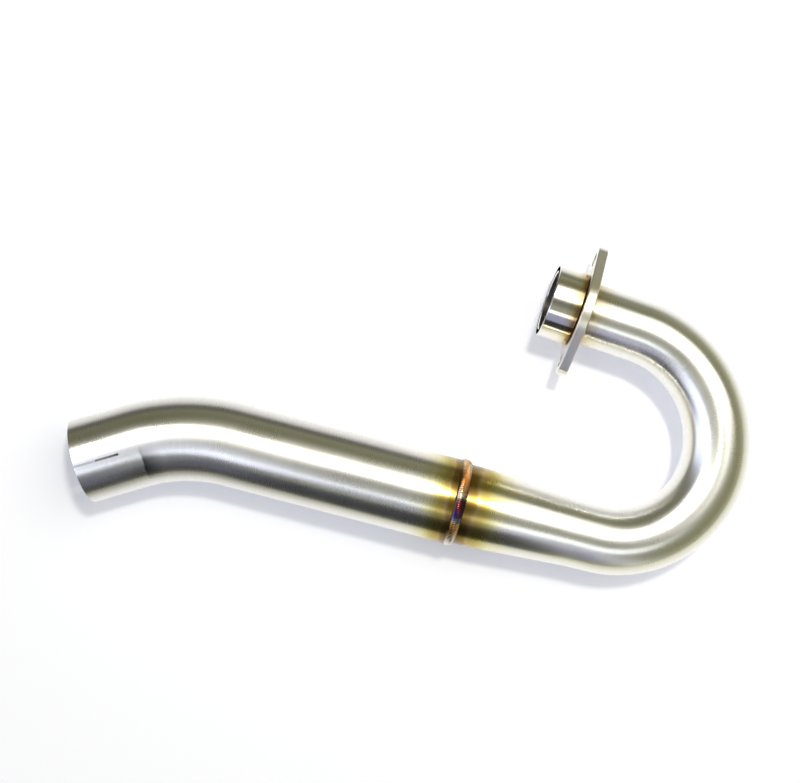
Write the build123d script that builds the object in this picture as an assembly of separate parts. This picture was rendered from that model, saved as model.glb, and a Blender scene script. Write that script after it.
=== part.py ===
from build123d import *
import os

# Motorcycle exhaust header, lying flat as it comes to rest. Millimetres and degrees.
# The origin is the centre of the port collar's mouth, +X runs along the port axis into the pipe,
# and +Z is up. Every centreline lies in the plane Z = 0.

# Tubes
tube_wall = 1.2
port_tube_od = 37.6
bend_end_od = 40.8
mid_tube_od = 50.8
slip_clearance = 0.15

# Route of the head pipe, from the collar's mouth to the end of its neck
port_leg = 56.6
first_bend_radius = 68.6
first_bend_turn = 80.0
second_bend_radius = 58.7
second_bend_turn = 95.8
bend_exit_leg = 5.3
cone_blend = 5.0
cone_length = 61.0
neck_length = 12.0
neck_lap = 12.0

# Route of the mid pipe, from the weld to the corner of its bend and on to the outlet
mid_run = 167.5
mid_bend_radius = 110.0
mid_bend_turn = 30.8
outlet_run = 62.8

# Clamp slot in the outlet end, turned a little from the top of the pipe
slot_width = 1.3
slot_length = 27.0
slot_turn = 5.0

# Port collar
collar_wall = 3.1
collar_length = 17.5
collar_mouth_depth = 8.0
socket_clearance = 0.1
collar_edge = 0.5

# Weld beads
collar_weld_leg = 1.6
collar_weld_bulge = 0.2
joint_weld_width = 6.6
joint_weld_crown = 0.8
weld_seat = 0.05

# Stud flange
flange_gap = 0.8
flange_thickness = 6.0
flange_web = 6.15
flange_bore_clearance = 0.45
flange_bore_chamfer = 1.9
flange_edge = 0.8
stud_spacing = 63.0
stud_hole_diameter = 8.5
stud_hole_wall = 4.15

# How far a cutting solid runs past the face that it opens
cut_margin = 5.0

# Sizes that follow from the ones above
port_tube_bore = port_tube_od - 2 * tube_wall
mid_tube_bore = mid_tube_od - 2 * tube_wall
neck_od = mid_tube_bore - 2 * slip_clearance
cone_shoulder = bend_exit_leg + cone_blend + cone_length
weld_distance = cone_shoulder + neck_length
neck_end = weld_distance + neck_lap
collar_socket = port_tube_od + 2 * socket_clearance
collar_od = collar_socket + 2 * collar_wall
flange_front = collar_length + flange_gap
flange_bore = port_tube_od + 2 * flange_bore_clearance
flange_width = flange_bore + 2 * flange_web
ear_radius = stud_hole_diameter / 2 + stud_hole_wall

# Route: stations along the pipe as planes whose Z axis follows the flow
port_mouth = Plane(origin=(0, 0, 0), x_dir=(0, 1, 0), z_dir=(1, 0, 0))
bend_start = port_mouth.offset(port_leg)
first_bend = JernArc((port_leg, 0), (1, 0), first_bend_radius, -first_bend_turn)
second_bend = JernArc(first_bend @ 1, first_bend % 1, second_bend_radius, -second_bend_turn)
bend_line = Wire([first_bend, second_bend])
bend_end = Plane(origin=second_bend @ 1, x_dir=(0, 0, 1), z_dir=second_bend % 1)
weld_start = bend_end.offset(weld_distance)
mid_corner = weld_start.offset(mid_run).origin
outlet_flow = weld_start.z_dir.rotate(Axis.Z, mid_bend_turn)
outlet_end = Plane(origin=mid_corner + outlet_flow * outlet_run, x_dir=(0, 0, 1), z_dir=outlet_flow)


def turned(station, outline):
    """Turn a closed outline about the flow; its X runs along the flow and its Y out from the axis."""
    drawing = Plane(origin=station.origin, x_dir=station.z_dir, z_dir=(0, 0, 1))
    return revolve(drawing * make_face(outline), axis=Axis(station.origin, station.z_dir))


def head_pipe_core(inset, overrun):
    """The head pipe as a bar, drawn in from its outside by the inset and run past both ends."""
    leg_start = port_mouth.offset(collar_mouth_depth - overrun)
    leg_length = port_leg - collar_mouth_depth + overrun
    leg = extrude(leg_start * Circle(port_tube_od / 2 - inset), amount=leg_length)

    first_section = bend_start * Circle(port_tube_od / 2 - inset)
    last_section = bend_end * Circle(bend_end_od / 2 - inset)
    bend = sweep(sections=[first_section, last_section], path=bend_line, multisection=True)

    small = bend_end_od / 2 - inset
    large = neck_od / 2 - inset
    along = Vector(cone_blend, 0)
    leg_end = Vector(bend_exit_leg, small)
    foot = leg_end + along
    shoulder = Vector(cone_shoulder, large)
    slope = (shoulder - foot).normalized() * cone_blend
    last = neck_end + overrun
    outline = [
        Bezier(leg_end, foot, foot + slope),
        Line(foot + slope, shoulder - slope),
        Bezier(shoulder - slope, shoulder, shoulder + along),
        Polyline(shoulder + along, (last, large), (last, 0), (0, 0), (0, small), leg_end),
    ]
    cone = turned(bend_end, outline)
    return leg + bend + cone


def make_head_pipe():
    """One tube: port leg, U-bend that widens slowly, cone, and the neck that slips into the mid pipe."""
    return head_pipe_core(0, 0) - head_pipe_core(tube_wall, cut_margin)


def make_mid_pipe():
    """Larger tube with a shallow bend; a slot lets a clamp close its outlet on the next pipe."""
    route = FilletPolyline(weld_start.origin, mid_corner, outlet_end.origin, radius=mid_bend_radius)
    wall_section = weld_start * (Circle(mid_tube_od / 2) - Circle(mid_tube_bore / 2))
    pipe = sweep(wall_section, path=route)
    saw_cut = Box(
        mid_tube_od,
        slot_width,
        slot_length + cut_margin,
        align=(Align.MIN, Align.CENTER, Align.MIN),
    )
    return pipe - outlet_end.offset(-slot_length) * Rot(0, 0, -slot_turn) * saw_cut


def make_port_collar():
    """Turned ring: its bore is level with the tube's bore, and a socket behind takes the tube's end."""
    mouth = port_tube_bore / 2
    socket = collar_socket / 2
    outside = collar_od / 2
    outline = Polyline(
        (0, mouth + collar_edge),
        (0, outside - collar_edge),
        (collar_edge, outside),
        (collar_length, outside),
        (collar_length, socket),
        (collar_mouth_depth, socket),
        (collar_mouth_depth, mouth),
        (collar_edge, mouth),
        close=True,
    )
    return turned(port_mouth, outline)


def make_collar_weld():
    """Fillet bead in the corner between the collar's back face and the tube."""
    root = Vector(collar_length + weld_seat, port_tube_od / 2 + weld_seat)
    toe = root + Vector(collar_weld_leg, 0)
    top = root + Vector(0, collar_weld_leg)
    crown = (toe + top) / 2 + Vector(collar_weld_bulge, collar_weld_bulge)
    outline = [ThreePointArc(toe, crown, top), Polyline(top, root, toe)]
    return turned(port_mouth, outline)


def make_joint_weld():
    """Crowned bead over the step from the neck up to the mid pipe's outside."""
    half_width = joint_weld_width / 2
    low = neck_od / 2 + weld_seat
    high = mid_tube_od / 2 + weld_seat
    crown = mid_tube_od / 2 + joint_weld_crown
    bead_face = ThreePointArc((-half_width, low), (0, crown), (half_width, high))
    step = Polyline((half_width, high), (-weld_seat, high), (-weld_seat, low), (-half_width, low))
    return turned(weld_start, [bead_face, step])


def make_stud_flange():
    """Two-ear plate, loose on the tube, its bore chamfered in front to clear the collar's weld."""
    ears = [Pos(side * stud_spacing / 2, 0) for side in (-1, 1)]
    boss_edges = Circle(flange_width / 2).edges()
    ear_edges = [ear * edge for ear in ears for edge in Circle(ear_radius).edges()]
    plate = extrude(make_hull(boss_edges + ear_edges), amount=flange_thickness)
    plate = chamfer(plate.edges().group_by(Axis.Z)[0] + plate.edges().group_by(Axis.Z)[-1], flange_edge)
    plate -= extrude(Circle(flange_bore / 2), amount=flange_thickness)
    plate -= Cone(
        flange_bore / 2 + flange_bore_chamfer,
        flange_bore / 2,
        flange_bore_chamfer,
        align=(Align.CENTER, Align.CENTER, Align.MIN),
    )
    for ear in ears:
        plate -= ear * extrude(Circle(stud_hole_diameter / 2), amount=flange_thickness)
    return port_mouth.offset(flange_front) * plate


pieces = {
    "port_collar": make_port_collar(),
    "collar_weld": make_collar_weld(),
    "stud_flange": make_stud_flange(),
    "head_pipe": make_head_pipe(),
    "joint_weld": make_joint_weld(),
    "mid_pipe": make_mid_pipe(),
}

os.makedirs("parts", exist_ok=True)
for name, piece in pieces.items():
    export_step(piece, f"parts/{name}.step")
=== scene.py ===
import math

import bmesh
import bpy
from mathutils import Matrix, Vector, noise


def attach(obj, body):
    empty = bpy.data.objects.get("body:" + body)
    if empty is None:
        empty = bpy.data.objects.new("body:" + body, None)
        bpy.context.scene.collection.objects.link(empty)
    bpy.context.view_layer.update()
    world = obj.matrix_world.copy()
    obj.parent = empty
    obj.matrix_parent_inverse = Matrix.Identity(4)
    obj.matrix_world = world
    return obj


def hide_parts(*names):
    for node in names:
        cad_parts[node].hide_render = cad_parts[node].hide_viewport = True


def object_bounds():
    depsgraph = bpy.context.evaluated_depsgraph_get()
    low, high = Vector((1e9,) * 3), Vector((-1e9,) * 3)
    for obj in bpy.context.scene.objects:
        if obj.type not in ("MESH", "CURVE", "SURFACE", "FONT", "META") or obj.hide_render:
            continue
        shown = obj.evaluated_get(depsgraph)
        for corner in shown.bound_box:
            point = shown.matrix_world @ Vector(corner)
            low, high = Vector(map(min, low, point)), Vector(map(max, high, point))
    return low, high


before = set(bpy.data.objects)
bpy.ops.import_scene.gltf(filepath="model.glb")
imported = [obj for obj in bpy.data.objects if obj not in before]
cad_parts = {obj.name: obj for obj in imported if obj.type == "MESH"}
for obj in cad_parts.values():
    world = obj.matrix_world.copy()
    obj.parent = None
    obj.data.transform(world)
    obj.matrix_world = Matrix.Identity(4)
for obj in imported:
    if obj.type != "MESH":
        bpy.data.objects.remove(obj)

cad_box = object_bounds()

# Lengths of the object are in millimetres, and MM turns them into metres; angles are in degrees.
MM = 0.001
UP = Vector((0, 0, 1))
FULL_TURN = 2 * math.pi
TINY = 1e-6

# Tubes, as in the CAD model
tube_wall = 1.2
tube_edge = 0.25
edge_margin = 3 * tube_edge
port_tube_radius = 18.8
bend_end_radius = 20.4
mid_tube_radius = 25.4
neck_radius = 24.05

# Route of the head pipe, from the port collar's mouth
tube_start = 8.0
port_leg = 56.6
first_bend_radius = 68.6
first_bend_turn = 80.0
second_bend_radius = 58.7
second_bend_turn = 95.8
bend_exit_leg = 5.3
cone_blend = 5.0
cone_length = 61.0
weld_distance = 83.3
neck_lap = 12.0

# Route of the mid pipe, from the joint weld
mid_run = 167.5
mid_bend_radius = 110.0
mid_bend_turn = 30.8
outlet_run = 62.8
slot_width = 1.3
slot_length = 27.0
slot_turn = 5.0

# Collar and the bead behind it
collar_radius = 22.0
collar_bore = 17.6
collar_socket = 18.9
collar_length = 17.5
collar_mouth_depth = 8.0
collar_edge = 0.5
collar_corner = 0.12
socket_margin = 0.1
collar_weld_leg = 1.6
collar_weld_bulge = 0.2
collar_weld_foot = 0.4
weld_seat = 0.05

# Joint bead, and the ripples of both beads
joint_weld_half_width = 3.3
joint_weld_crown = 0.8
ripple_pitch = 1.3
ripple_depth = 0.22
ripple_bow = 0.55
ripple_drift = 0.35
drift_scale = 3
crown_drop = 0.06
drop_scale = 7

# Flange
flange_front = 18.3
flange_thickness = 6.0
flange_radius = 25.4
flange_bore = 19.25
flange_bore_chamfer = 1.9
flange_edge = 0.8
stud_reach = 31.5
ear_radius = 8.4
stud_hole = 4.25
hole_edge = 0.25

# How finely the round pieces are drawn
tube_segments = 144
end_steps = 3
port_leg_steps = 12
bend_steps = 110
blend_steps = 8
cone_steps = 16
mid_straight_steps = 26
mid_bend_steps = 44
slot_steps = 14
corner_steps = 4
bead_segments = 1200
joint_bead_steps = 14
collar_bead_steps = 8
flange_edge_steps = 4
ear_steps = 28
boss_steps = 40
flange_bore_steps = 96
stud_hole_steps = 48

# Heat tint: how far it reaches along the tubes from the joint weld, either way, and from the collar
tint_reach = 30.0
upstream_tint_reach = 39.0
port_tint_reach = 20.0
flange_tint_radius = flange_radius + 6

# Dark patch on the mid bend: its end along the pipe, the run up to it, its fading edge and its place round it
mark_end = 188.5
mark_run = 12.0
mark_fade_start = 0.4
mark_fade_end = 1.4
mark_turn = 0.42
mark_core = 0.02
mark_reach = 0.075
mark_shade = 0.85
mark_colour = (0.06, 0.06, 0.057, 1)
mark_depth = 0.12

# Camera: it looks straight down, with its picture turned in the plane of the floor
picture_width = 800
focal_pixels = 1200.0
pixels_per_mm = 1.679
camera_roll = 18.8
camera_x = -65.98
camera_y = -79.96
sensor_width = 36.0
nearest_seen = 0.01

picture_right = Matrix.Rotation(math.radians(camera_roll), 3, "Z") @ Vector((1, 0, 0))
picture_up = UP.cross(picture_right)

# Floor and room, in metres
floor_height = cad_box[0].z
floor_segments = 96
room_radius = 3.0
room_segments = 64
room_rings = 32
horizon_slack = 1e-4

# Floor: its own grey, and what is added for the camera and for the metal, more of it far out
floor_grey = (0.80, 0.80, 0.80, 1)
floor_lift = (0.32, 0.335, 0.425, 1)
floor_lift_in_metal = (0.40, 0.41, 0.52, 1)
lift_grows_from = 0.4
lift_grows_to = 1.3
far_lift = 3.2

# Floor that the metal mirrors from further off: where it takes over, and which way it is bright
far_floor_from = 0.03
far_floor_to = 0.18
far_floor_colour = (1.0, 1.0, 0.82, 1)
far_floor_lean = picture_right * 1.44 - picture_up * 1.23
far_floor_dark_lean = -0.7
far_floor_bright_lean = 1.9
far_floor_dark = 0.10
far_floor_bright = 0.96

# Room: which way it is brighter
room_lean = picture_right * 0.336 - picture_up * 0.19


# Stations along the pipes

def round_arc(start, flow, side, radius, distance):
    """Centre and flow this far round an arc that leaves the start along the flow and curves to the side."""
    turn = distance / radius
    centre = start + radius * (flow * math.sin(turn) + side * (1 - math.cos(turn)))
    return centre, flow * math.cos(turn) + side * math.sin(turn)


def port_station(distance):
    """A station on the port axis."""
    return Vector((distance, 0, 0)), Vector((1, 0, 0))


first_bend_length = first_bend_radius * math.radians(first_bend_turn)
second_bend_length = second_bend_radius * math.radians(second_bend_turn)
bend_end_at = port_leg + first_bend_length + second_bend_length
weld_at = bend_end_at + weld_distance


def head_station(distance):
    """Centre and flow of the head pipe, this far along it from the port collar's mouth."""
    centre, flow = port_station(min(distance, port_leg))
    past = distance - port_leg
    for radius, length in ((first_bend_radius, first_bend_length), (second_bend_radius, second_bend_length)):
        if past > 0:
            centre, flow = round_arc(centre, flow, flow.cross(UP), radius, min(past, length))
        past -= length
    return centre + flow * max(0.0, past), flow


weld_centre, weld_flow = head_station(weld_at)
mid_tangent = mid_bend_radius * math.tan(math.radians(mid_bend_turn / 2))
mid_bend_length = mid_bend_radius * math.radians(mid_bend_turn)
mid_straight = mid_run - mid_tangent
mid_length = mid_straight + mid_bend_length + outlet_run - mid_tangent


def mid_station(distance):
    """Centre and flow of the mid pipe, this far along it from the joint weld."""
    centre = weld_centre + weld_flow * min(distance, mid_straight)
    flow = weld_flow
    past = distance - mid_straight
    if past > 0:
        centre, flow = round_arc(centre, flow, UP.cross(flow), mid_bend_radius, min(past, mid_bend_length))
    return centre + flow * max(0.0, past - mid_bend_length), flow


def spaced(first, last, count):
    """Both ends and even steps between them."""
    return [first + (last - first) * k / count for k in range(count + 1)]


def bezier(first, corner, last, count):
    """Points on a curve that leaves and arrives along the lines to its corner."""
    return [
        first * (1 - share) ** 2 + corner * 2 * share * (1 - share) + last * share ** 2
        for share in spaced(0.0, 1.0, count)
    ]


# Shader helpers

class Shader:
    """A node material while it is put together."""

    def __init__(self, name):
        self.material = bpy.data.materials.new(name)
        self.material.use_nodes = True
        self.tree = self.material.node_tree
        self.surface = self.tree.nodes["Principled BSDF"]

    def node(self, kind, **settings):
        made = self.tree.nodes.new(kind)
        for key, value in settings.items():
            setattr(made, key, value)
        return made

    def feed(self, socket, value):
        if isinstance(value, bpy.types.NodeSocket):
            self.tree.links.new(value, socket)
        else:
            socket.default_value = value

    def math(self, operation, first, second=0.0):
        made = self.node("ShaderNodeMath", operation=operation)
        self.feed(made.inputs[0], first)
        self.feed(made.inputs[1], second)
        return made.outputs[0]

    def vector(self, operation, first):
        made = self.node("ShaderNodeVectorMath", operation=operation)
        self.feed(made.inputs[0], first)
        return made

    def parts(self, vector):
        split = self.node("ShaderNodeSeparateXYZ")
        self.feed(split.inputs[0], vector)
        return split.outputs

    def lean(self, vector, direction):
        """How far a vector leans in a direction."""
        made = self.vector("DOT_PRODUCT", vector)
        made.inputs[1].default_value = direction
        return made.outputs["Value"]

    def range(self, value, low, high, new_low, new_high):
        made = self.node("ShaderNodeMapRange")
        for socket, number in zip(made.inputs, (value, low, high, new_low, new_high)):
            self.feed(socket, number)
        return made.outputs[0]

    def spread(self, grain, low, high, stray=0.25):
        """Noise turned into values from low to high; stray is how far from one half it is followed."""
        return self.range(grain, 0.5 - stray, 0.5 + stray, low, high)

    def ramp(self, factor, stops):
        """Colours by position; each stop is a position and a colour."""
        made = self.node("ShaderNodeValToRGB")
        elements = made.color_ramp.elements
        while len(elements) < len(stops):
            elements.new(0.5)
        for element, (position, colour) in zip(elements, stops):
            element.position = position
            element.color = (*colour, 1.0)
        self.feed(made.inputs[0], factor)
        return made.outputs[0]

    def mix(self, factor, first, second, blend="MIX"):
        made = self.node("ShaderNodeMix", data_type="RGBA", blend_type=blend)
        self.feed(made.inputs["Factor"], factor)
        self.feed(made.inputs[6], first)
        self.feed(made.inputs[7], second)
        return made.outputs[2]

    def noise(self, vector, stretch, detail):
        """Noise from 0 to 1; stretch gives the waves for each millimetre along each axis."""
        scaled = self.vector("MULTIPLY", vector)
        scaled.inputs[1].default_value = stretch
        made = self.node("ShaderNodeTexNoise")
        made.inputs["Scale"].default_value = 1.0
        made.inputs["Detail"].default_value = detail
        self.feed(made.inputs["Vector"], scaled.outputs[0])
        return made.outputs[0]

    def object_place(self):
        return self.node("ShaderNodeTexCoord").outputs["Object"]

    def flow_place(self, radius):
        """Millimetres along the flow, the share of a turn, and a seamless place on a tube of this radius."""
        uv = self.parts(self.node("ShaderNodeUVMap", uv_map="flow").outputs[0])
        along = self.math("DIVIDE", uv[0], MM)
        angle = self.math("MULTIPLY", uv[1], FULL_TURN)
        place = self.node("ShaderNodeCombineXYZ")
        self.feed(place.inputs[0], self.math("MULTIPLY", self.math("COSINE", angle), radius))
        self.feed(place.inputs[1], self.math("MULTIPLY", self.math("SINE", angle), radius))
        self.feed(place.inputs[2], along)
        return along, uv[1], place.outputs[0]

    def metal(self, anisotropic=0.0):
        """Metal; with a stretch for its highlights, it is measured from the direction of flow."""
        self.surface.inputs["Metallic"].default_value = 1.0
        if anisotropic:
            self.surface.inputs["Anisotropic"].default_value = anisotropic
            tangent = self.node("ShaderNodeTangent", direction_type="UV_MAP", uv_map="flow")
            self.feed(self.surface.inputs["Tangent"], tangent.outputs[0])

    def colour(self, value):
        self.feed(self.surface.inputs["Base Color"], value)

    def roughness(self, value):
        self.feed(self.surface.inputs["Roughness"], value)

    def bump(self, height, strength, distance, over=None):
        """Relief on the surface, over an earlier relief where one is given; distance is in millimetres."""
        made = self.node("ShaderNodeBump")
        made.inputs["Strength"].default_value = strength
        made.inputs["Distance"].default_value = distance * MM
        self.feed(made.inputs["Height"], height)
        if over is not None:
            self.feed(made.inputs["Normal"], over)
        self.feed(self.surface.inputs["Normal"], made.outputs[0])
        return made.outputs[0]

    def emission(self, colour, strength=1.0):
        made = self.node("ShaderNodeEmission")
        self.feed(made.inputs["Color"], colour)
        self.feed(made.inputs["Strength"], strength)
        return made.outputs[0]

    def replace_surface(self, output):
        self.tree.nodes.remove(self.surface)
        self.feed(self.tree.nodes["Material Output"].inputs["Surface"], output)


# Materials

steel = (0.80, 0.79, 0.735)


def heat_tint(shader, along, wobble):
    """Colour of the tubes: steel, straw to brown beside the joint weld and behind the collar."""
    from_weld = shader.math("MAXIMUM", shader.math("DIVIDE", along, tint_reach),
                            shader.math("DIVIDE", along, -upstream_tint_reach))
    weld_tint = shader.ramp(shader.math("ADD", from_weld, shader.math("DIVIDE", wobble, tint_reach)), [
        (0.00, (0.12, 0.08, 0.05)),
        (0.10, (0.22, 0.14, 0.04)),
        (0.15, (0.25, 0.16, 0.03)),
        (0.19, (0.29, 0.19, 0.05)),
        (0.24, (0.44, 0.33, 0.14)),
        (0.30, (0.46, 0.34, 0.09)),
        (0.37, (0.47, 0.38, 0.11)),
        (0.47, (0.59, 0.53, 0.22)),
        (0.60, (0.74, 0.69, 0.44)),
        (0.80, (0.79, 0.77, 0.67)),
        (1.00, steel),
    ])
    from_port = shader.math("ADD", shader.math("ADD", along, weld_at - collar_length), wobble)
    port_tint = shader.ramp(shader.math("DIVIDE", from_port, port_tint_reach), [
        (0.00, (0.40, 0.26, 0.13)),
        (0.32, (0.60, 0.45, 0.24)),
        (0.52, (0.88, 0.80, 0.60)),
        (0.80, (0.98, 0.96, 0.91)),
        (1.00, (1.0, 1.0, 1.0)),
    ])
    return shader.mix(1.0, weld_tint, port_tint, "MULTIPLY")


def dark_patch(shader, along, turn):
    """How strong the dark patch is, 0 to 1: it grows along the pipe and stops short."""
    before = shader.range(along, mark_end - mark_run, mark_end, 0.0, 1.0)
    after = shader.range(along, mark_end + mark_fade_start, mark_end + mark_fade_end, 1.0, 0.0)
    away = shader.math("ABSOLUTE", shader.math("SUBTRACT", shader.math("FRACT", turn), mark_turn))
    around_pipe = shader.range(away, mark_core, mark_reach, 1.0, 0.0)
    return shader.math("MULTIPLY", shader.math("MULTIPLY", before, after), around_pipe)


def brushed_steel():
    """Satin tube, brushed round its girth, with heat tint beside its welds and a dark patch on the mid bend.
    """
    shader = Shader("brushed_stainless")
    shader.metal(anisotropic=0.58)
    along, turn, place = shader.flow_place(mid_tube_radius)
    fine = shader.noise(place, (0.03, 0.03, 4.0), 4.0)
    streak = shader.noise(place, (0.06, 0.06, 1.1), 3.0)
    smudge = shader.noise(place, (0.05, 0.05, 0.04), 2.0)
    wobble = shader.spread(shader.noise(place, (0.06, 0.06, 0.06), 1.0), -1.6, 1.6, stray=0.2)
    shade = shader.spread(streak, 0.97, 1.025)
    grey = shader.node("ShaderNodeCombineColor")
    for socket in grey.inputs:
        shader.feed(socket, shade)
    streaked = shader.mix(1.0, heat_tint(shader, along, wobble), grey.outputs[0], "MULTIPLY")
    mark = dark_patch(shader, along, turn)
    shader.colour(shader.mix(shader.math("MULTIPLY", mark, mark_shade), streaked, mark_colour))
    shader.roughness(shader.math("ADD", shader.spread(fine, 0.272, 0.288),
                                 shader.spread(smudge, -0.02, 0.02, stray=0.2)))
    dent = shader.bump(shader.math("SUBTRACT", 1.0, mark), 1.0, mark_depth)
    shader.bump(shader.math("ADD", fine, streak), 0.015, 0.02, over=dent)
    return shader.material


def shaded_bore_steel():
    """The unpolished inside of the tubes: dull, coloured near black all over as painted shade inside the
    bore, and mottled by a little scale.
    """
    shader = Shader("shaded_bore_steel")
    shader.metal()
    _, _, place = shader.flow_place(mid_tube_radius)
    scale = shader.noise(place, (0.15, 0.15, 0.10), 5.0)
    # Painted shade: these near-black colours stand in for the shade inside the tubes; the noise only mottles
    # them.
    shader.colour(shader.ramp(scale, [
        (0.30, (0.07, 0.064, 0.058)),
        (0.55, (0.15, 0.14, 0.125)),
        (0.75, (0.30, 0.29, 0.265)),
    ]))
    shader.roughness(shader.spread(scale, 0.50, 0.32, stray=0.3))
    shader.bump(scale, 0.3, 0.08)
    return shader.material


def polished_steel():
    """Turned and polished collar with fine tool lines, gold to brown where the weld heated its back."""
    shader = Shader("polished_stainless")
    shader.metal(anisotropic=0.35)
    along, _, place = shader.flow_place(collar_radius)
    lines = shader.noise(place, (0.02, 0.02, 5.0), 4.0)
    smear = shader.noise(place, (0.10, 0.10, 0.16), 3.0)
    from_front = shader.math("ADD", along, shader.spread(smear, -1.5, 1.5, stray=0.2))
    shader.colour(shader.ramp(shader.math("DIVIDE", from_front, collar_length), [
        (0.00, (0.84, 0.83, 0.77)),
        (0.60, (0.82, 0.79, 0.69)),
        (0.78, (0.74, 0.66, 0.45)),
        (0.90, (0.58, 0.45, 0.22)),
        (1.00, (0.34, 0.22, 0.10)),
    ]))
    shader.roughness(shader.spread(lines, 0.11, 0.17))
    shader.bump(lines, 0.15, 0.01)
    return shader.material


def flange_steel():
    """Bright flange plate with tumbled faces and a faint straw tint near its bore."""
    shader = Shader("flange_steel")
    shader.metal()
    place = shader.vector("SCALE", shader.object_place())
    place.inputs["Scale"].default_value = 1 / MM
    mottle = shader.noise(place.outputs[0], (0.35, 0.35, 0.35), 4.0)
    pits = shader.noise(place.outputs[0], (2.5, 2.5, 2.5), 3.0)
    _, y, z = shader.parts(place.outputs[0])
    square = shader.math("ADD", shader.math("MULTIPLY", y, y), shader.math("MULTIPLY", z, z))
    from_axis = shader.math("POWER", square, 0.5)
    uneven = shader.math("ADD", from_axis, shader.spread(mottle, -2.0, 2.0, stray=0.2))
    shader.colour(shader.ramp(shader.range(uneven, flange_bore, flange_tint_radius, 0.0, 1.0), [
        (0.00, (0.60, 0.48, 0.26)),
        (0.35, (0.76, 0.70, 0.54)),
        (0.80, (0.80, 0.79, 0.74)),
    ]))
    shader.roughness(shader.spread(pits, 0.26, 0.38))
    shader.bump(pits, 0.2, 0.03)
    return shader.material


def weld_metal():
    """Bead in its heat colours: copper, maroon, blue and straw follow each other round the joint; its pale
    stops just past the top and on one flank are painted highlight and painted reflection of the floor.
    """
    shader = Shader("weld_bead")
    shader.metal()
    along, turn, place = shader.flow_place(mid_tube_radius)
    drift = shader.spread(shader.noise(place, (0.30, 0.30, 0.30), 3.0), -0.018, 0.018, stray=0.2)
    heat_and_highlight = shader.ramp(shader.math("ADD", turn, drift), [
        (0.00, (0.30, 0.15, 0.06)),
        (0.10, (0.05, 0.05, 0.12)),
        (0.20, (0.40, 0.30, 0.18)),
        # Painted reflection of the floor: the pale stops on this flank of the bead.
        (0.30, (0.75, 0.68, 0.58)),
        (0.33, (0.70, 0.66, 0.64)),
        (0.36, (0.62, 0.56, 0.46)),
        (0.385, (0.52, 0.33, 0.15)),
        (0.412, (0.46, 0.23, 0.07)),
        (0.435, (0.48, 0.35, 0.14)),
        (0.452, (0.10, 0.11, 0.24)),
        (0.470, (0.06, 0.03, 0.10)),
        (0.49, (0.11, 0.02, 0.03)),
        (0.515, (0.05, 0.025, 0.02)),
        # Painted highlight: the pale stop just past the top of the bead.
        (0.54, (0.46, 0.40, 0.33)),
        (0.565, (0.40, 0.21, 0.09)),
        (0.60, (0.54, 0.20, 0.04)),
        (0.645, (0.80, 0.42, 0.17)),
        (0.69, (0.85, 0.60, 0.34)),
        (0.76, (0.36, 0.20, 0.10)),
        (0.82, (0.10, 0.07, 0.14)),
        (0.92, (0.40, 0.26, 0.12)),
        (1.00, (0.30, 0.15, 0.06)),
    ])
    toe = shader.range(shader.math("ABSOLUTE", along), 1.9, 3.0, 0.0, 0.85)
    shader.colour(shader.mix(toe, heat_and_highlight, (0.06, 0.04, 0.02, 1)))
    grain = shader.noise(place, (1.2, 1.2, 1.2), 3.0)
    shader.roughness(shader.spread(grain, 0.16, 0.30))
    shader.bump(grain, 0.2, 0.04)
    return shader.material


brushed = brushed_steel()
bore = shaded_bore_steel()
polished = polished_steel()
flange_finish = flange_steel()
weld = weld_metal()


# Mesh helpers

def finished_object(name, body, node, mesh, sharp_angle=50.0):
    """A smooth object that rides on a body and stands for a CAD node."""
    mesh.shade_smooth()
    mesh.set_sharp_from_angle(angle=math.radians(sharp_angle))
    obj = bpy.data.objects.new(name, mesh)
    bpy.context.scene.collection.objects.link(obj)
    steady = obj.modifiers.new("steady_normals", "WEIGHTED_NORMAL")
    steady.keep_sharp = True
    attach(obj, body)
    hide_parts(node)
    return obj


def even_angles(radius):
    """Even steps once round a tube, the same for every radius."""
    return [FULL_TURN * k / tube_segments for k in range(tube_segments)]


def slotted_angles(radius):
    """Even steps round the mid pipe from one side of the saw slot to the other."""
    half_slot = math.asin(slot_width / 2 / radius)
    middle = math.pi - math.radians(slot_turn)
    return spaced(middle + half_slot, middle - half_slot + FULL_TURN, tube_segments - 1)


def around(centre, flow, angle, radius):
    """A point on the circle round a station; angle 0 is its lowest point."""
    return centre + radius * (UP.cross(flow) * math.sin(angle) - UP * math.cos(angle))


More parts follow.
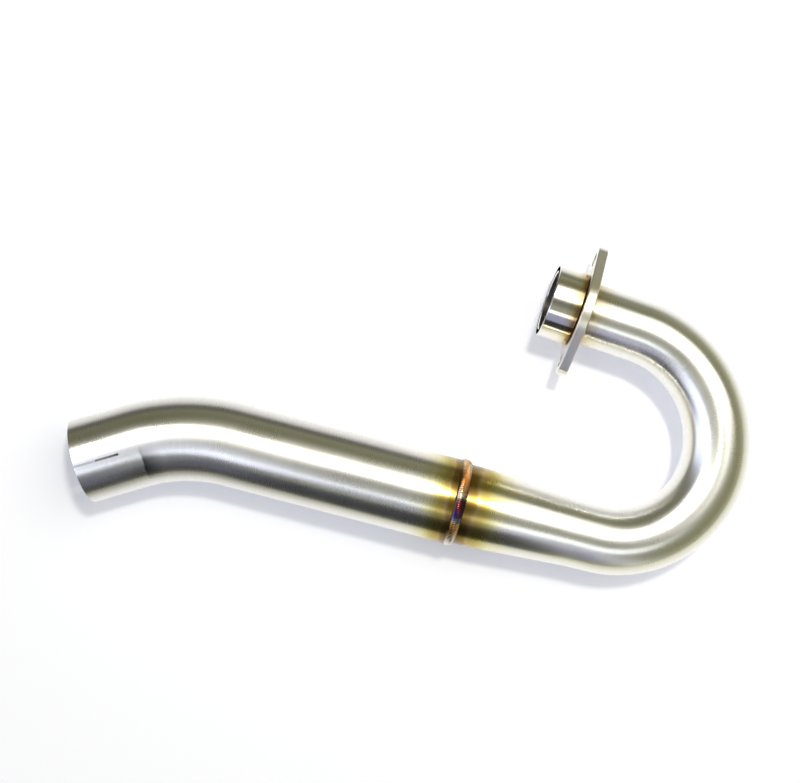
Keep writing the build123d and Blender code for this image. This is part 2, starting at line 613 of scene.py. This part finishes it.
class Skin:
    """A skin made of rings round a line, each joined to the next by quads."""

    def __init__(self, station, angles_of=even_angles):
        self.station = station
        self.angles_of = angles_of
        self.vertices = []
        self.faces = []
        self.uvs = []
        self.finishes = []
        self.rings = []

    def ring(self, distance, radius, along, finish):
        centre, flow = self.station(distance)
        angles = self.angles_of(radius)
        self.rings.append((len(self.vertices), angles, along * MM, finish))
        self.vertices += [around(centre, flow, angle, radius) for angle in angles]

    def join(self, first, second, skip_last_column=False):
        start_a, angles_a, along_a, finish = self.rings[first]
        start_b, angles_b, along_b, _ = self.rings[second]
        count = len(angles_a)
        for k in range(count - 1 if skip_last_column else count):
            after = (k + 1) % count
            lap = FULL_TURN if after == 0 else 0.0
            corners = (start_a + k, start_a + after, start_b + after, start_b + k)
            turns = (angles_a[k], angles_a[after] + lap, angles_b[after] + lap, angles_b[k])
            self.add(corners, (along_a, along_a, along_b, along_b), turns, finish)

    def join_all(self):
        """Joins every ring to the next, and the last to the first."""
        count = len(self.rings)
        for k in range(count):
            self.join(k, (k + 1) % count)

    def add(self, corners, alongs, turns, finish):
        self.faces.append(corners)
        for along, turn in zip(alongs, turns):
            self.uvs += [along, turn / FULL_TURN]
        self.finishes.append(finish)

    def mesh(self, name, materials):
        made = bpy.data.meshes.new(name)
        made.from_pydata([v * MM for v in self.vertices], [], self.faces)
        for material in materials:
            made.materials.append(material)
        made.polygons.foreach_set("material_index", self.finishes)
        made.uv_layers.new(name="flow").uv.foreach_set("vector", self.uvs)
        made.update()
        return made


OUTSIDE = 0
INSIDE = 1


def end_rounding(distance, direction, radius):
    """Distance and radius round the outer half of a tube's end, from its wall to the rim."""
    rows = []
    for step in spaced(0, 90, end_steps):
        lean = math.radians(step)
        out = distance - direction * tube_edge * (1 - math.sin(lean))
        rows.append((out, radius - tube_edge * (1 - math.cos(lean))))
    return rows


def tube_outline(wall_line):
    """Outer half of a tube's section: rounded start, wall line and rounded end."""
    first, first_radius = wall_line[0]
    last, last_radius = wall_line[-1]
    return [
        *reversed(end_rounding(first, -1, first_radius)),
        (first + edge_margin, first_radius),
        *[row for row in wall_line if first + edge_margin < row[0] < last - edge_margin],
        (last - edge_margin, last_radius),
        *end_rounding(last, 1, last_radius),
    ]


def tube_skin(station, wall_line, zero, angles_of=even_angles):
    """A tube with a wall: rings run along its outside and back along its bore."""
    skin = Skin(station, angles_of)
    half = tube_outline(wall_line)
    first, first_radius = wall_line[0]
    last, last_radius = wall_line[-1]
    for distance, radius in half:
        skin.ring(distance, radius, distance - zero, OUTSIDE)
    for distance, radius in reversed(half):
        wall = radius
        if distance < first + tube_edge:
            wall = first_radius
        elif distance > last - tube_edge:
            wall = last_radius
        skin.ring(distance, wall - tube_wall + (wall - radius), distance - zero, INSIDE)
    return skin


# Pieces

def head_wall_line():
    """Distance along the head pipe and its outer radius: leg, widening bend, cone and neck."""
    leg_end = Vector((bend_exit_leg, bend_end_radius))
    foot = leg_end + Vector((cone_blend, 0))
    shoulder = Vector((foot.x + cone_length, neck_radius))
    slope = (shoulder - foot).normalized() * cone_blend
    cone = [
        *bezier(leg_end, foot, foot + slope, blend_steps),
        *[(foot + slope).lerp(shoulder - slope, share) for share in spaced(0.0, 1.0, cone_steps)[1:-1]],
        *bezier(shoulder - slope, shoulder, shoulder + Vector((cone_blend, 0)), blend_steps),
    ]
    swell = bend_end_radius - port_tube_radius
    return [
        *[(distance, port_tube_radius) for distance in spaced(tube_start, port_leg, port_leg_steps)[:-1]],
        *[(port_leg + (bend_end_at - port_leg) * share, port_tube_radius + swell * share)
          for share in spaced(0.0, 1.0, bend_steps)],
        *[(bend_end_at + point.x, point.y) for point in cone],
        (weld_at + neck_lap, neck_radius),
    ]


def make_head_tube():
    skin = tube_skin(head_station, head_wall_line(), weld_at)
    skin.join_all()
    mesh = skin.mesh("head_tube", [brushed, bore])
    return finished_object("head_tube", "header", "head_pipe", mesh)


def make_mid_tube():
    """The larger tube; the column of quads over the saw slot is left out and its cut faces are added."""
    slot_start = mid_length - slot_length
    line = [
        *spaced(0.0, mid_straight, mid_straight_steps)[:-1],
        *spaced(mid_straight, mid_straight + mid_bend_length, mid_bend_steps),
        *spaced(slot_start, mid_length, slot_steps),
    ]
    skin = tube_skin(mid_station, [(distance, mid_tube_radius) for distance in line], 0.0, slotted_angles)
    count = len(skin.rings)
    distances = [ring[2] / MM for ring in skin.rings]
    for k in range(count):
        after = (k + 1) % count
        in_slot = min(distances[k], distances[after]) > slot_start - TINY
        skin.join(k, after, skip_last_column=in_slot)

    def corner(ring, column):
        return skin.rings[ring][0] + column

    last_column = tube_segments - 1
    cut = [k for k in range(count // 2) if distances[k] > slot_start - TINY]
    no_turn = (0, 0, 0, 0)
    for k in cut[:-1]:
        rings = (k, k + 1, count - 2 - k, count - 1 - k)
        alongs = tuple(skin.rings[ring][2] for ring in rings)
        skin.add(tuple(corner(ring, 0) for ring in reversed(rings)), tuple(reversed(alongs)), no_turn, INSIDE)
        skin.add(tuple(corner(ring, last_column) for ring in rings), alongs, no_turn, INSIDE)
    outer = cut[0]
    inner = count - 1 - outer
    slot_end = (corner(outer, last_column), corner(inner, last_column), corner(inner, 0), corner(outer, 0))
    skin.add(slot_end, (slot_start * MM,) * 4, no_turn, INSIDE)
    mesh = skin.mesh("mid_tube", [brushed, bore])
    return finished_object("mid_tube", "header", "mid_pipe", mesh)


def rounded(corners, radius):
    """A closed outline with each corner replaced by a small curve."""
    points = []
    count = len(corners)
    for k, corner in enumerate(corners):
        before = corners[k - 1]
        after = corners[(k + 1) % count]
        start = corner + (before - corner).normalized() * radius
        end = corner + (after - corner).normalized() * radius
        points.append(corner + (start - corner) * 2)
        points += bezier(start, corner, end, corner_steps)
        points.append(corner + (end - corner) * 2)
    return points


def make_collar():
    """Turned ring, its corners broken, with the socket that the tube sits in."""
    corners = [
        (collar_edge, collar_bore),
        (0, collar_bore + collar_edge),
        (0, collar_radius - collar_edge),
        (collar_edge, collar_radius),
        (collar_length, collar_radius),
        (collar_length, collar_socket),
        (collar_mouth_depth, collar_socket),
        (collar_mouth_depth, collar_bore),
    ]
    skin = Skin(port_station)
    for x, radius in rounded([Vector(corner) for corner in corners], collar_corner):
        inside = radius < collar_socket + socket_margin and x > collar_edge
        skin.ring(x, radius, x, INSIDE if inside else OUTSIDE)
    skin.join_all()
    mesh = skin.mesh("collar_ring", [polished, bore])
    return finished_object("collar_ring", "header", "port_collar", mesh)


def ripple(phase):
    """Height of a weld ripple, 0 to 1, with a steep front and a long back."""
    share = phase % 1.0
    return math.sin(math.pi * share ** 0.6)


def unevenness(angle, scale, height):
    """Smooth noise round a ring, from about -1 to 1."""
    return noise.noise(Vector((scale * math.cos(angle), scale * math.sin(angle), height)))


def make_bead(name, node, centre, flow, tops, feet, closing, radius):
    """A ring bead whose ripples lift its top line between each foot and its crown."""
    ripples = round(FULL_TURN * radius / ripple_pitch)
    section = len(tops) + len(closing)
    middle = (tops[0].x + tops[-1].x) / 2
    alongs = [(x - middle) * MM for x, _ in [*tops, *closing]]
    vertices = []
    faces = []
    uvs = []
    for k in range(bead_segments):
        angle = FULL_TURN * k / bead_segments
        drift = ripple_drift * unevenness(angle, drift_scale, radius)
        drop = abs(crown_drop * unevenness(angle, drop_scale, 2 * radius))
        outline = []
        for j, (top, foot) in enumerate(zip(tops, feet)):
            across = 2 * j / (len(tops) - 1) - 1
            phase = ripples * angle / FULL_TURN + ripple_bow * across ** 2 + drift
            lift = 1 - ripple_depth * (1 - ripple(phase)) * (1 - across ** 4) - drop
            outline.append(foot + (top - foot) * lift)
        for x, height in [*outline, *closing]:
            vertices.append(around(centre + flow * x, flow, angle, height) * MM)
    for k in range(bead_segments):
        here = k * section
        there = (k + 1) % bead_segments * section
        turn = k / bead_segments
        next_turn = (k + 1) / bead_segments
        for j in range(section):
            i = (j + 1) % section
            faces.append((here + j, there + j, there + i, here + i))
            uvs += [alongs[j], turn, alongs[j], next_turn, alongs[i], next_turn, alongs[i], turn]
    mesh = bpy.data.meshes.new(name)
    mesh.from_pydata(vertices, [], faces)
    mesh.materials.append(weld)
    mesh.uv_layers.new(name="flow").uv.foreach_set("vector", uvs)
    mesh.update()
    return finished_object(name, "header", node, mesh, sharp_angle=70.0)


def circle_height(points, x):
    """Height at x of the upper half of the circle through three points."""
    (x0, y0), (x1, y1), (x2, y2) = points
    square0, square1, square2 = (a * a + b * b for a, b in points)
    four_areas = 2 * (x0 * (y1 - y2) + x1 * (y2 - y0) + x2 * (y0 - y1))
    centre_x = (square0 * (y1 - y2) + square1 * (y2 - y0) + square2 * (y0 - y1)) / four_areas
    centre_y = (square0 * (x2 - x1) + square1 * (x0 - x2) + square2 * (x1 - x0)) / four_areas
    return centre_y + math.sqrt((x0 - centre_x) ** 2 + (y0 - centre_y) ** 2 - (x - centre_x) ** 2)


def make_joint_bead():
    """Bead over the step from the neck up to the larger tube."""
    half = joint_weld_half_width
    low = neck_radius + weld_seat
    high = mid_tube_radius + weld_seat
    crown = [(-half, low), (0.0, mid_tube_radius + joint_weld_crown), (half, high)]
    places = spaced(-half, half, joint_bead_steps)
    tops = [Vector((x, circle_height(crown, x))) for x in places]
    feet = [Vector((x, low if x < -weld_seat else high)) for x in places]
    closing = [(-weld_seat, high), (-weld_seat, low)]
    return make_bead("joint_bead", "joint_weld", weld_centre, weld_flow, tops, feet, closing,
                     mid_tube_radius)


def make_collar_bead():
    """Fillet between the collar's back and the tube."""
    root = Vector((collar_length + weld_seat, port_tube_radius + weld_seat))
    toe = root + Vector((0, collar_weld_leg))
    tip = root + Vector((collar_weld_leg, 0))
    crown = (toe + tip) / 2 + Vector((collar_weld_bulge, collar_weld_bulge)) * 2
    tops = bezier(toe, crown, tip, collar_bead_steps)
    feet = [root + (top - root) * collar_weld_foot for top in tops]
    feet[0] = tops[0]
    feet[-1] = tops[-1]
    centre, flow = port_station(0.0)
    return make_bead("collar_bead", "collar_weld", centre, flow, tops, feet, [tuple(root)], port_tube_radius)


def flange_loop(inset):
    """The two-ear outline, drawn in by an inset: round ears and boss joined by straight tangents."""
    boss = flange_radius - inset
    ear = ear_radius - inset
    lean = math.degrees(math.acos((boss - ear) / stud_reach))
    arcs = [
        (stud_reach, ear, -lean, lean, ear_steps),
        (0.0, boss, lean, 180 - lean, boss_steps),
        (-stud_reach, ear, 180 - lean, 180 + lean, ear_steps),
        (0.0, boss, 180 + lean, 360 - lean, boss_steps),
    ]
    return [
        Vector((centre + radius * math.cos(math.radians(angle)), radius * math.sin(math.radians(angle))))
        for centre, radius, first, last, count in arcs
        for angle in spaced(first, last, count)
    ]


def circle_loop(centre, radius, count):
    angles = [FULL_TURN * k / count for k in range(count)]
    return [Vector((centre + radius * math.cos(angle), radius * math.sin(angle))) for angle in angles]


def make_flange():
    """Loose two-ear plate with rounded edges; the bore is chamfered in front to clear the collar's bead."""
    work = bmesh.new()

    def loop(points, depth):
        return [work.verts.new(Vector((flange_front + depth, p.x, p.y)) * MM) for p in points]

    def walls(loops):
        for first, second in zip(loops, loops[1:]):
            count = len(first)
            for k in range(count):
                after = (k + 1) % count
                work.faces.new((first[k], second[k], second[after], first[after]))

    def edge_rows(size):
        """Inset and depth round an edge, from the flat face to the wall."""
        leans = [math.radians(angle) for angle in spaced(0, 90, flange_edge_steps)]
        return [(size * (1 - math.sin(lean)), size * (1 - math.cos(lean))) for lean in leans]

    def hole(centre, radius, count, chamfer=0.0):
        """Loops through a hole; its front has a chamfer if one is given, and its other edges are rounded."""
        rows = [(radius + inset, depth) for inset, depth in edge_rows(hole_edge)]
        front = [(radius + chamfer, 0.0), (radius, chamfer)] if chamfer else rows
        back = [(wide, flange_thickness - depth) for wide, depth in reversed(rows)]
        return [loop(circle_loop(centre, wide, count), depth) for wide, depth in [*front, *back]]

    rows = edge_rows(flange_edge)
    outer = [loop(flange_loop(inset), depth) for inset, depth in rows]
    outer += [loop(flange_loop(inset), flange_thickness - depth) for inset, depth in reversed(rows)]
    outlines = [
        outer,
        hole(0.0, flange_bore, flange_bore_steps, flange_bore_chamfer),
        hole(stud_reach, stud_hole, stud_hole_steps),
        hole(-stud_reach, stud_hole, stud_hole_steps),
    ]
    for loops in outlines:
        walls(loops)
    for end in (0, -1):
        rims = []
        for loops in outlines:
            ring = loops[end]
            rims += [work.edges.get(pair) for pair in zip(ring, [*ring[1:], ring[0]])]
        bmesh.ops.triangle_fill(work, use_beauty=True, edges=rims)
    bmesh.ops.recalc_face_normals(work, faces=work.faces)
    mesh = bpy.data.meshes.new("flange_plate")
    work.to_mesh(mesh)
    work.free()
    mesh.materials.append(flange_finish)
    return finished_object("flange_plate", "flange", "stud_flange", mesh, sharp_angle=40.0)


make_head_tube()
make_mid_tube()
make_collar()
make_joint_bead()
make_collar_bead()
make_flange()


# Studio; places and sizes here are in metres

def floor_material():
    """White table: its own shading, lifted for what the camera and the metal see, so that shadows stay."""
    shader = Shader("table_white")
    diffuse = shader.node("ShaderNodeBsdfDiffuse")
    diffuse.inputs["Color"].default_value = floor_grey
    rays = shader.node("ShaderNodeLightPath").outputs
    in_metal = shader.math("MAXIMUM", rays["Is Glossy Ray"], rays["Is Transmission Ray"])
    seen = shader.math("MAXIMUM", rays["Is Camera Ray"], in_metal)
    place = shader.object_place()
    distance = shader.vector("LENGTH", place).outputs["Value"]
    growth = shader.range(distance, lift_grows_from, lift_grows_to, 1.0, far_lift)
    lift = shader.emission(shader.mix(in_metal, floor_lift, floor_lift_in_metal),
                           shader.math("MULTIPLY", seen, growth))
    near = shader.node("ShaderNodeAddShader")
    shader.feed(near.inputs[0], diffuse.outputs[0])
    shader.feed(near.inputs[1], lift)
    lean = shader.lean(shader.vector("NORMALIZE", place).outputs[0], far_floor_lean)
    far = shader.emission(far_floor_colour, shader.range(lean, far_floor_dark_lean, far_floor_bright_lean,
                                                         far_floor_dark, far_floor_bright))
    away = shader.range(rays["Ray Length"], far_floor_from, far_floor_to, 0.0, 1.0)
    total = shader.node("ShaderNodeMixShader")
    shader.feed(total.inputs[0], shader.math("MULTIPLY", in_metal, away))
    shader.feed(total.inputs[1], near.outputs[0])
    shader.feed(total.inputs[2], far)
    shader.replace_surface(total.outputs[0])
    return shader.material


def room_material():
    """Dim olive room that the metal mirrors, darker at the horizon and straight above."""
    shader = Shader("room")
    unit = shader.vector("NORMALIZE", shader.object_place()).outputs[0]
    by_height = shader.ramp(shader.parts(unit)[2], [
        (0.00, (0.146, 0.146, 0.106)),
        (0.10, (0.307, 0.303, 0.20)),
        (0.40, (0.18, 0.176, 0.103)),
        (0.75, (0.24, 0.235, 0.158)),
        (0.94, (0.33, 0.33, 0.275)),
        (1.00, (0.12, 0.12, 0.105)),
    ])
    lean = shader.lean(unit, room_lean)
    shader.replace_surface(shader.emission(by_height, shader.math("ADD", lean, 1.0)))
    shader.material.cycles.emission_sampling = "NONE"
    return shader.material


def picture_place(right, up, height):
    """A point in metres from the picture's centre: to its right, to its top and above the pipes' axes."""
    foot = Vector((camera_x, camera_y, 0)) * MM
    return foot + picture_right * right + picture_up * up + UP * height


def soft_light(name, place, size, radiance, colour, aim=(0, 0, 0), turn=0):
    """A flat light at a place, facing the aim; turn swings its length from the picture's top."""
    width, length = size
    data = bpy.data.lights.new(name, "AREA")
    data.shape = "RECTANGLE"
    data.size = width
    data.size_y = length
    data.energy = radiance * math.pi * width * length
    data.color = colour
    lamp = bpy.data.objects.new(name, data)
    bpy.context.scene.collection.objects.link(lamp)
    at = picture_place(*place)
    back = (at - picture_place(*aim)).normalized()
    side = picture_up.cross(back).normalized()
    facing = Matrix((side, back.cross(side), back)).transposed() @ Matrix.Rotation(math.radians(turn), 3, "Z")
    lamp.matrix_world = Matrix.Translation(at) @ facing.to_4x4()
    lamp.visible_camera = False
    return lamp


def mirrored_card(name, left, right, low, high, colour):
    """A card that only the metal sees; low and high give its lower and upper edges as (up, height)."""
    shader = Shader(name)
    shader.replace_surface(shader.emission((*colour, 1)))
    shader.material.cycles.emission_sampling = "NONE"
    corners = [(left, *low), (right, *low), (right, *high), (left, *high)]
    mesh = bpy.data.meshes.new(name)
    mesh.from_pydata([picture_place(*corner) for corner in corners], [], [(0, 1, 2, 3)])
    mesh.materials.append(shader.material)
    card = bpy.data.objects.new(name, mesh)
    bpy.context.scene.collection.objects.link(card)
    card.visible_camera = False
    card.visible_shadow = False
    card.visible_diffuse = False
    return card


def make_floor():
    bpy.ops.mesh.primitive_circle_add(vertices=floor_segments, radius=room_radius, fill_type="NGON",
                                      location=(camera_x * MM, camera_y * MM, floor_height))
    floor = bpy.context.object
    floor.name = "floor"
    floor.data.materials.append(floor_material())
    return floor


def make_room():
    """Half a sphere over the floor that the camera doesn't see."""
    work = bmesh.new()
    bmesh.ops.create_uvsphere(work, u_segments=room_segments, v_segments=room_rings, radius=room_radius)
    low = [v for v in work.verts if v.co.z < -horizon_slack]
    bmesh.ops.delete(work, geom=low, context="VERTS")
    mesh = bpy.data.meshes.new("room")
    work.to_mesh(mesh)
    work.free()
    mesh.materials.append(room_material())
    room = bpy.data.objects.new("room", mesh)
    bpy.context.scene.collection.objects.link(room)
    room.location.z = floor_height
    room.visible_camera = False
    room.visible_shadow = False
    return room


def make_lights():
    """Three lamps that light the object and the floor, and five that show only in the metal."""
    bend = (0.17, -0.02, 0.0)
    daylight = (1.0, 0.99, 0.96)
    soft_light("key", (0.25, 0.46, 1.40), (0.12, 0.12), 213.0, (1.0, 0.97, 0.88))
    soft_light("right_window", (1.01, 0.66, 1.57), (1.32, 1.56), 1.92, daylight, aim=bend, turn=29)
    soft_light("overhead", (-0.32, 0.33, 1.04), (1.19, 0.67), 0.77, daylight, aim=(-0.32, 0.32, 0.0), turn=17)
    mirrored = [
        soft_light("side_window", (-0.64, -0.22, 0.405), (1.12, 0.95), 1.85, (0.70, 0.75, 1.0),
                   aim=bend, turn=4),
        soft_light("strip", (0.17, -0.51, 0.73), (0.21, 0.44), 1.86, (0.87, 0.93, 1.0), turn=99),
        soft_light("mid_strip", (-0.175, -0.487, 0.80), (0.05, 0.36), 1.5, (0.65, 0.75, 1.0), turn=75.5),
        soft_light("low_card", (0.16, -0.34, 0.17), (0.08, 0.33), 0.50, (0.80, 0.83, 1.0), turn=66),
        soft_light("core", (-0.20, 0.53, 1.00), (0.80, 0.12), 14.0, daylight),
    ]
    for lamp in mirrored:
        lamp.visible_diffuse = False


def make_backdrop():
    world = bpy.data.worlds.new("backdrop")
    world.use_nodes = True
    world.node_tree.nodes["Background"].inputs["Color"].default_value = (1, 1, 1, 1)
    bpy.context.scene.world = world


def make_camera():
    data = bpy.data.cameras.new("camera")
    data.sensor_width = sensor_width
    data.lens = focal_pixels * sensor_width / picture_width
    data.clip_start = nearest_seen
    camera = bpy.data.objects.new("camera", data)
    bpy.context.scene.collection.objects.link(camera)
    camera.location = Vector((camera_x, camera_y, focal_pixels / pixels_per_mm)) * MM
    camera.rotation_euler = (0, 0, math.radians(camera_roll))
    bpy.context.scene.camera = camera


floor = make_floor()
room = make_room()
dark = mirrored_card("dark_card", -0.15, 0.09, (-0.20, 0.0), (-0.20, 0.125), (0.03, 0.032, 0.03))
grey = mirrored_card("grey_card", -0.40, -0.152, (-0.20, 0.0), (-0.20, 0.055), (0.06, 0.06, 0.06))
blue = mirrored_card("blue_card", -0.40, -0.152, (-0.205, 0.055), (-0.22, 0.23), (0.13, 0.135, 0.18))
lavender = mirrored_card("lavender_card", -0.05, 0.13, (-0.40, 0.08), (-0.46, 0.60), (0.36, 0.36, 0.56))
make_lights()
make_backdrop()
make_camera()
bpy.context.scene.view_settings.view_transform = "Standard"
